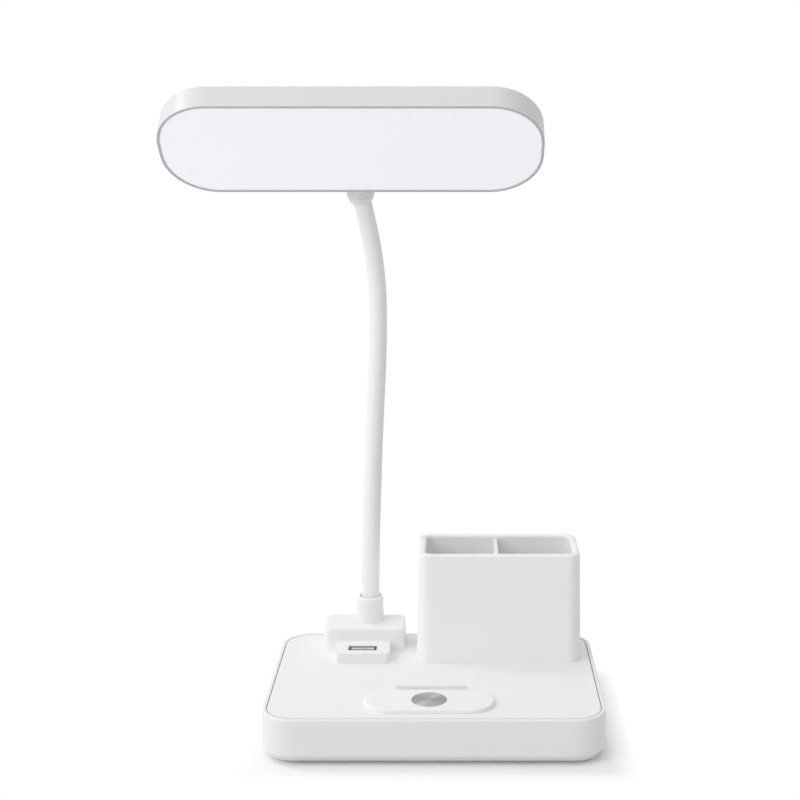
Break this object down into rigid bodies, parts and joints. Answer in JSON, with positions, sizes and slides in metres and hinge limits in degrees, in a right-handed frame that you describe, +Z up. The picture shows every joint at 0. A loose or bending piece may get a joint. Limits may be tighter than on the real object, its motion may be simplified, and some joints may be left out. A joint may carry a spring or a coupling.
{
  "type": "desk lamp",
  "caption": "Flat rounded lamp head on a bending gooseneck over a low rectangular base that carries a pen holder, a phone stop, a charging port and a push button.",
  "frame": {"origin": "on the table top under the centre of the base's outline, so the part stands on the plane at height zero", "axes": "+X to the right and +Y to the back as seen from the front, where the button is; +Z up"},
  "size_m": [0.1996, 0.1228, 0.2868],
  "materials": {
    "white_shell": "satin moulded white",
    "plate_plastic": "fine matt white",
    "bezel_plastic": "satin pale grey",
    "pen_holder_plastic": "satin moulded white",
    "collar_plastic": "semi-gloss white",
    "head_plastic": "satin moulded white",
    "diffuser_plastic": "opal, frosted",
    "sleeve_rubber": "matt white silicone rubber",
    "foot_rubber": "matt grey",
    "button_metal": "circular brushed",
    "port_steel": "bright plated",
    "port_plastic": "satin",
    "switch_plastic": "satin black",
    "board_laminate": "green solder mask",
    "cell_wrap": "dull foil",
    "weight_steel": "raw",
    "screw_steel": "plated",
    "core_steel": "raw",
    "led_board_aluminium": "white mask",
    "led_resin": "yellow phosphor"
  },
  "bodies": {
    "base": {"base_housing": "white_shell", "top_plate": "plate_plastic", "bottom_cover": "white_shell", "cover_screws": "screw_steel", "counterweight": "weight_steel", "battery": "cell_wrap", "control_board": "board_laminate", "tact_switch": "switch_plastic", "port_shell": "port_steel", "port_tongue": "port_plastic", "charging_inlet": "port_steel", "inlet_tongue": "switch_plastic", "switch_bezel": "bezel_plastic", "pen_holder": "pen_holder_plastic", "pen_holder_screws": "screw_steel", "neck_collar": "collar_plastic", "neck_lock_nut": "screw_steel", "foot_front_left": "foot_rubber", "foot_front_right": "foot_rubber", "foot_rear_left": "foot_rubber", "foot_rear_right": "foot_rubber", "neck_sleeve_1": "sleeve_rubber", "neck_core_1": "core_steel"},
    "button": {"button_cap": "button_metal", "button_plunger": "switch_plastic", "switch_pin": "switch_plastic"},
    "neck_lower": {"neck_sleeve_2": "sleeve_rubber", "neck_core_2": "core_steel"},
    "neck_middle": {"neck_sleeve_3": "sleeve_rubber", "neck_core_3": "core_steel"},
    "neck_upper": {"neck_sleeve_4": "sleeve_rubber", "neck_core_4": "core_steel"},
    "neck_top": {"neck_sleeve_5": "sleeve_rubber", "neck_core_5": "core_steel", "swivel_ball": "collar_plastic"},
    "swivel": {"swivel_pin": "screw_steel", "swivel_nut": "screw_steel"},
    "head": {"head_housing": "head_plastic", "diffuser": "diffuser_plastic", "led_board": "led_board_aluminium", "led_chips": "led_resin", "led_board_screws": "screw_steel"}
  },
  "joints": [
    {"name": "button_press", "type": "slide", "parent": "base", "child": "button", "axis": [0, 0, -1], "range_m": [0, 0.0008], "stiffness_N_per_m": 900, "springref_m": -0.0006},
    {"name": "neck_lean_low", "type": "hinge", "parent": "base", "child": "neck_lower", "pos_m": [-0.03173, 0.04193, 0.05523], "axis": [1, 0, 0], "range_deg": [-20, 30]},
    {"name": "neck_sway_low", "type": "hinge", "parent": "neck_lower", "child": "neck_middle", "pos_m": [-0.03062, 0.0475, 0.09929], "axis": [0, -1, 0], "range_deg": [-25, 25]},
    {"name": "neck_lean_high", "type": "hinge", "parent": "neck_middle", "child": "neck_upper", "pos_m": [-0.02871, 0.05691, 0.14604], "axis": [1, 0, 0], "range_deg": [-30, 30]},
    {"name": "neck_sway_high", "type": "hinge", "parent": "neck_upper", "child": "neck_top", "pos_m": [-0.02802, 0.0647, 0.18611], "axis": [0, -1, 0], "range_deg": [-30, 30]},
    {"name": "head_tilt", "type": "hinge", "parent": "neck_top", "child": "swivel", "pos_m": [-0.03573, 0.06419, 0.238], "axis": [1, 0, 0], "range_deg": [-20, 20]},
    {"name": "head_turn", "type": "hinge", "parent": "swivel", "child": "head", "pos_m": [-0.03573, 0.06419, 0.238], "axis": [0, -0.7133, 0.7009], "range_deg": [-90, 90]}
  ]
}
